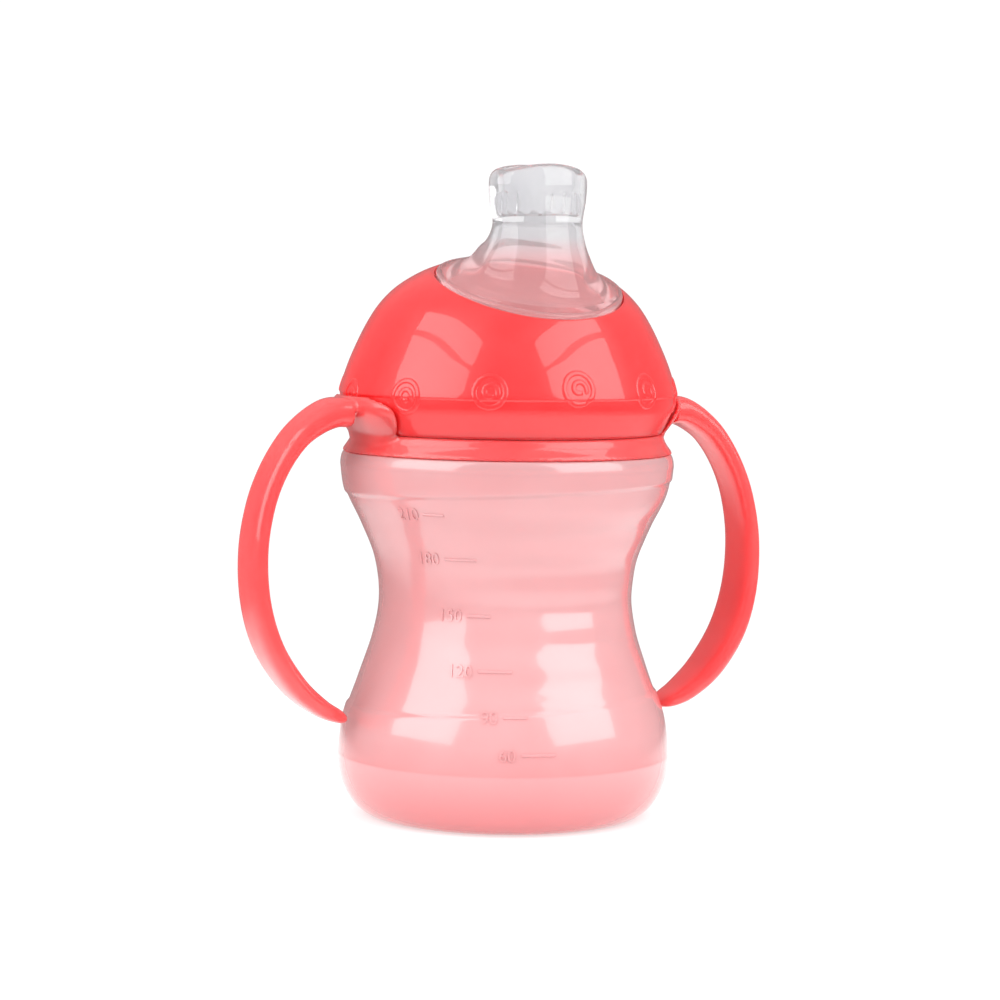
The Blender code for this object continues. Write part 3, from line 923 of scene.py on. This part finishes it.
def hood_rings():
    """Sections from the aperture's edge, over the dome and the skirt, and back up inside."""
    edge = aperture_outline(OUTER_DOME)
    first, second = dome_rings(OUTER_DOME, edge, DOME_LATITUDE, DOME_STEPS)[:2]
    outwards = [(q - p).normalized() for p, q in zip(first, second)]
    rounding = rounded_edge(edge, outwards, APERTURE_EDGE, 5)
    over = dome_rings(OUTER_DOME, rounding[-1], DOME_LATITUDE, DOME_STEPS)[1:]
    skirt_start = height_at(OUTER_DOME, DOME_LATITUDE) - 0.2
    skirt_end = HOOD_BOTTOM_Z + HOOD_LOWER_EDGE + 0.05
    skirt = [p for p in OUTER_DOME if skirt_end < p[1] < skirt_start]
    lower_edge = arc((HOOD_OUTLINE[-1][0] - HOOD_LOWER_EDGE, HOOD_BOTTOM_Z + HOOD_LOWER_EDGE),
                     (HOOD_LOWER_EDGE, HOOD_LOWER_EDGE), 0, -90, 4)
    bore = [(HOOD_BORE + BORE_CHAMFER, HOOD_BOTTOM_Z), (HOOD_BORE, HOOD_BOTTOM_Z + BORE_CHAMFER)]
    bore += straight((HOOD_BORE, HOOD_BOTTOM_Z + 1.0), (HOOD_BORE, LEDGE_Z), 8)
    ledge = [(HOOD_BORE, LEDGE_Z), (LEDGE_BORE, LEDGE_Z), (LEDGE_BORE, LEDGE_Z + LEDGE_THICKNESS)]
    below = revolved(skirt + lower_edge + bore + ledge, HOOD_SEGMENTS)
    inner_latitude = radius_at(INNER_DOME, DOME_INNER_START_Z) - 0.05
    under = dome_rings(INNER_DOME, aperture_outline(INNER_DOME), inner_latitude, 20)[::-1]
    return rounding + over + below + under


def make_hood():
    hood = add_object("hood_shell", strip_mesh("hood_shell", hood_rings(), closed=True))
    thread_z = NECK_THREAD_START_Z - THREAD_PITCH / 2
    combine(hood, thread_mesh(HOOD_BORE, False, thread_z, HOOD_THREAD_TURNS), "UNION")
    combine(hood, joined("medallions", medallion_meshes()), "UNION")
    finish_piece(hood, "hood", "screw_hood", coral_plastic("hood_plastic", *HOOD_COLOURS))


# ------------------------------------------------------------------- spout

def spout_ring(y, z, half_x, half_y, tilt, crown=0.0, flutes=0.0):
    """One oval section of the spout, tilted towards the drinking side."""
    slope = math.radians(tilt)
    ring = []
    for k in range(SPOUT_SEGMENTS):
        angle = 2 * math.pi * k / SPOUT_SEGMENTS
        swell = 1 + flutes * math.cos(RECESS_FLUTES * angle)
        across = half_x * swell * math.cos(angle)
        along = half_y * swell * math.sin(angle)
        height = z + along * math.sin(slope) - crown * math.cos(angle) ** 2
        ring.append((across, y + along * math.cos(slope), height))
    return ring


def aperture_ring(radius, depth):
    """A circular section parallel to the aperture, below it by depth."""
    centre = aperture_matrix() @ Vector((0, 0, -depth))
    return spout_ring(centre.y, centre.z, radius, radius, APERTURE_TILT)


def lip_ring(radius, height):
    """A section that follows the dome's edge, above it by height."""
    ring = []
    for k in range(SPOUT_SEGMENTS):
        angle = 2 * math.pi * k / SPOUT_SEGMENTS
        edge = dome_depth(OUTER_DOME, APERTURE_RADIUS, angle)
        ring.append(aperture_point(radius, angle, edge + height))
    return ring


def spout_rings():
    """Sections from the recess floor, over the outside, to the membrane's underside."""
    fit = APERTURE_RADIUS - GAP
    floor = [(SPOUT_Y, MEMBRANE_Z, 2.2, 1.0, 0), (SPOUT_Y, MEMBRANE_Z + 0.1, 2.7, 1.4, 0),
             (SPOUT_Y, MEMBRANE_Z + 0.5, 3.0, 1.7, 0), (SPOUT_Y, MEMBRANE_Z + 0.5, 3.5, 2.1, 0),
             (SPOUT_Y, MEMBRANE_Z + 0.1, 3.9, 2.4, 0), (SPOUT_Y, MEMBRANE_Z, 4.4, 2.8, 0),
             (SPOUT_Y, MEMBRANE_Z, 7.0, 3.9, 0)]
    recess = smooth([
        (SPOUT_Y, MEMBRANE_Z + 0.5, 7.55, 4.35, 0, 0, 0.0), (SPOUT_Y, 136.2, 7.65, 4.45, 0, 0, 0.05),
        (SPOUT_Y, 138.2, 7.75, 4.55, 0, 0, 0.06), (SPOUT_Y, 139.8, 7.85, 4.65, 0, 0, 0.05),
        (SPOUT_Y, 140.8, 7.95, 4.75, 0, 0.2, 0.0),
        (SPOUT_Y, 144.9, 8.3, 5.1, 0, HEAD_CROWN, 0.0),
        (SPOUT_Y, SPOUT_TOP_Z - 0.3, 9.2, 5.9, 0, HEAD_CROWN, 0.0)], 5)
    outside = smooth([
        (SPOUT_Y, SPOUT_TOP_Z, 10.0, 6.8, 0, HEAD_CROWN), (SPOUT_Y, 145.5, 10.9, 7.6, 0, HEAD_CROWN),
        (SPOUT_Y, 142.4, 11.3, 7.9, 0, 0), (SPOUT_Y, 138.4, 11.1, 7.9, 0, 0),
        (SPOUT_Y, 133.4, 10.2, 8.4, 1, 0), (-14.2, 129.6, 11.0, 9.9, 7, 0),
        (-13.4, 126.8, 12.5, 12.0, 14, 0), (-12.7, 123.8, 14.4, 14.2, 16, 0),
        (-11.9, 121.9, 16.8, 16.6, 17, 0), (-11.2, 120.8, 19.2, 19.1, 17, 0)], 7)
    lip = [lip_ring(radius, height) for radius, height in (
        (19.6, 0.55), (20.0, 0.75), (20.4, 0.75), (20.75, 0.5), (fit, 0.1), (fit, -0.6))]
    flange_z = RIM_Z + GAP
    flange_top = flange_z + FLANGE_THICKNESS
    cone = LEDGE_BORE - CONE_CLEARANCE
    flat = FLANGE_RADIUS - FLANGE_EDGE
    flange = [(cone, flange_top), (LEDGE_BORE + 0.2, flange_top), (flat, flange_top),
              (FLANGE_RADIUS, flange_top - FLANGE_EDGE), (FLANGE_RADIUS, flange_z + FLANGE_EDGE),
              (flat, flange_z), (cone - SILICONE_WALL, flange_z)]
    skirt = [aperture_ring(fit - 0.2, SKIRT_TOP_DEPTH)]
    skirt += [spout_ring(0, z, r, r, 0) for r, z in flange]
    skirt += [aperture_ring(fit - SILICONE_WALL, SKIRT_TOP_DEPTH + 0.6),
              aperture_ring(CONE_TOP_RADIUS, CONE_TOP_DEPTH)]
    channel = smooth([
        (-11.6, 120.2, 15.0, 14.9, 19, 0), (-12.8, 122.3, 12.3, 12.2, 19, 0),
        (-13.6, 125.3, 11.1, 10.4, 13, 0), (-14.3, 129.0, 9.4, 8.2, 7, 0),
        (SPOUT_Y, 132.4, 8.7, 6.4, 0, 0)], 6)
    ceiling = [(SPOUT_Y, MEMBRANE_Z - MEMBRANE_THICKNESS, 8.2, 5.9, 0),
               (SPOUT_Y, MEMBRANE_Z - MEMBRANE_THICKNESS, 4.0, 2.0, 0)]
    return ([spout_ring(*s) for s in floor + recess + outside] + lip + skirt
            + [spout_ring(*s) for s in channel + ceiling])


def slit_mesh():
    """A thin flat cutter that passes right through the membrane."""
    half_x, half_y = SLIT_LENGTH / 2, SLIT_WIDTH / 2
    corners = [(-half_x, -half_y), (half_x, -half_y), (half_x, half_y), (-half_x, half_y)]
    levels = (MEMBRANE_Z - MEMBRANE_THICKNESS - 1.0, MEMBRANE_Z + 1.0)
    rings = [[(x, SPOUT_Y + y, z) for x, y in corners] for z in levels]
    return strip_mesh("slit", rings, poles=(centre_of(rings[0]), centre_of(rings[-1])))


def make_spout():
    rings = spout_rings()
    spout = add_object("spout_shell", strip_mesh(
        "spout_shell", rings, poles=(centre_of(rings[0]), centre_of(rings[-1]))))
    combine(spout, slit_mesh(), "DIFFERENCE")
    finish_piece(spout, "hood", "spout", clear_silicone("spout_silicone"), sharp=40)


# ------------------------------------------------------------------- stage

def make_floor():
    """A pale floor that fades into the backdrop, lit a little from within, as a light table is."""
    mesh = bpy.data.meshes.new("floor")
    half = FLOOR_REACH
    corners = [(-half, -half, 0), (half, -half, 0), (half, half, 0), (-half, half, 0)]
    mesh.from_pydata(corners, [], [(0, 1, 2, 3)])
    material, nodes, links = new_material("studio_floor")
    shader = nodes["Principled BSDF"]
    place = nodes.new("ShaderNodeTexCoord")
    distance = nodes.new("ShaderNodeVectorMath")
    distance.operation = "LENGTH"
    links.new(place.outputs["Object"], distance.inputs[0])
    fade = spread(nodes, links, distance.outputs["Value"], 1.0, 0.0, FLOOR_REACH * 0.4, FLOOR_REACH)
    links.new(fade, shader.inputs["Alpha"])
    patches = spread(nodes, links, noise(nodes, links, scale=3.0), 0.0, 1.0)
    links.new(shade(nodes, links, patches, *FLOOR_COLOURS), shader.inputs["Base Color"])
    shader.inputs["Roughness"].default_value = 0.9
    shader.inputs["Specular IOR Level"].default_value = 0.1
    shader.inputs["Emission Color"].default_value = (*WHITE, 1.0)
    shader.inputs["Emission Strength"].default_value = FLOOR_GLOW
    floor = add_object("studio_floor", mesh, material)
    floor.location.z = -0.0001


def add_pane(name, azimuth, elevation, width, height):
    """One pane of a softbox, facing the cup from a direction given as for the camera."""
    light = bpy.data.lights.new(name, "AREA")
    light.shape = "RECTANGLE"
    light.size = width
    light.size_y = height
    light.energy = PANE_RADIANCE * math.pi * width * height
    pane = bpy.data.objects.new(name, light)
    bpy.context.scene.collection.objects.link(pane)
    a, e = math.radians(azimuth), math.radians(elevation)
    back = Vector((math.sin(a) * math.cos(e), -math.cos(a) * math.cos(e), math.sin(e)))
    pane.location = Vector((0, 0, PANE_AIM_HEIGHT)) + back * PANE_DISTANCE
    pane.rotation_mode = "QUATERNION"
    pane.rotation_quaternion = back.to_track_quat("Z", "Y")
    pane.visible_camera = False


def make_lights():
    """Two tall softboxes, each split by a cross-bar, either side of the camera."""
    for side, offset in (("left", -PANE_OFFSET), ("right", PANE_OFFSET)):
        azimuth = CAMERA_AZIMUTH + offset
        add_pane(side + "_lower_pane", azimuth, *LOWER_PANE)
        add_pane(side + "_upper_pane", azimuth, *UPPER_PANE)


def facing(nodes, links, direction, levels, start, stop, both_ways=False):
    """A strength that runs between two levels with how far a ray points in a direction."""
    place = nodes.new("ShaderNodeTexCoord")
    product = nodes.new("ShaderNodeVectorMath")
    product.operation = "DOT_PRODUCT"
    product.inputs[1].default_value = direction
    links.new(place.outputs["Generated"], product.inputs[0])
    share = product.outputs["Value"]
    if both_ways:
        size = nodes.new("ShaderNodeMath")
        size.operation = "ABSOLUTE"
        links.new(share, size.inputs[0])
        share = size.outputs[0]
    return spread(nodes, links, share, *levels, start, stop)


def choose(nodes, links, chooser, otherwise, chosen):
    """One strength or another, by the kind of ray; the chosen one may be a plain number."""
    node = nodes.new("ShaderNodeMix")
    node.data_type = "FLOAT"
    links.new(chooser, node.inputs["Factor"])
    links.new(otherwise, node.inputs["A"])
    if isinstance(chosen, float):
        node.inputs["B"].default_value = chosen
    else:
        links.new(chosen, node.inputs["B"])
    return node.outputs["Result"]


def make_world():
    """A white backdrop in a dimmer room, brightest overhead and along the camera's line."""
    world = bpy.data.worlds.new("studio")
    world.use_nodes = True
    world.cycles.sampling_method = "NONE"
    nodes, links = world.node_tree.nodes, world.node_tree.links
    path = nodes.new("ShaderNodeLightPath")
    azimuth = math.radians(CAMERA_AZIMUTH)
    ahead = (-math.sin(azimuth), math.cos(azimuth), 0.0)
    overhead = (0.0, 0.0, 1.0)
    lit = facing(nodes, links, overhead, ROOM, *OVERHEAD_SPAN)
    reflected = facing(nodes, links, overhead, REFLECTED, *OVERHEAD_SPAN)
    through = facing(nodes, links, ahead, SEEN_THROUGH, *AHEAD_SPAN, both_ways=True)
    strength = choose(nodes, links, path.outputs["Is Glossy Ray"], lit, reflected)
    strength = choose(nodes, links, path.outputs["Is Transmission Ray"], strength, through)
    strength = choose(nodes, links, path.outputs["Is Camera Ray"], strength, BACKDROP)
    links.new(strength, nodes["Background"].inputs["Strength"])
    only_reflected = nodes.new("ShaderNodeMath")
    only_reflected.operation = "GREATER_THAN"
    links.new(path.outputs["Is Glossy Ray"], only_reflected.inputs[0])
    links.new(path.outputs["Is Transmission Ray"], only_reflected.inputs[1])
    tint = shade(nodes, links, only_reflected.outputs[0], WHITE, REFLECTED_TINT)
    links.new(tint, nodes["Background"].inputs["Color"])
    bpy.context.scene.world = world


def make_camera():
    data = bpy.data.cameras.new("camera")
    data.lens = CAMERA_LENS
    data.shift_x = CAMERA_SHIFT
    data.clip_end = 50.0
    camera = bpy.data.objects.new("camera", data)
    bpy.context.scene.collection.objects.link(camera)
    azimuth = math.radians(CAMERA_AZIMUTH)
    camera.location = (math.sin(azimuth) * CAMERA_DISTANCE, -math.cos(azimuth) * CAMERA_DISTANCE,
                       CAMERA_HEIGHT)
    aim = Vector((0.0, 0.0, CAMERA_AIM_HEIGHT)) - camera.location
    camera.rotation_mode = "QUATERNION"
    roll = Matrix.Rotation(math.radians(CAMERA_ROLL), 4, "Z").to_quaternion()
    camera.rotation_quaternion = aim.to_track_quat("-Z", "Y") @ roll
    bpy.context.scene.camera = camera


def set_scene():
    scene = bpy.context.scene
    scene.view_settings.view_transform = "Standard"
    scene.cycles.max_bounces = 24
    scene.cycles.transmission_bounces = 20
    scene.cycles.transparent_max_bounces = 16


make_cup()
make_handle_ring()
make_hood()
make_spout()
make_floor()
make_lights()
make_world()
make_camera()
set_scene()
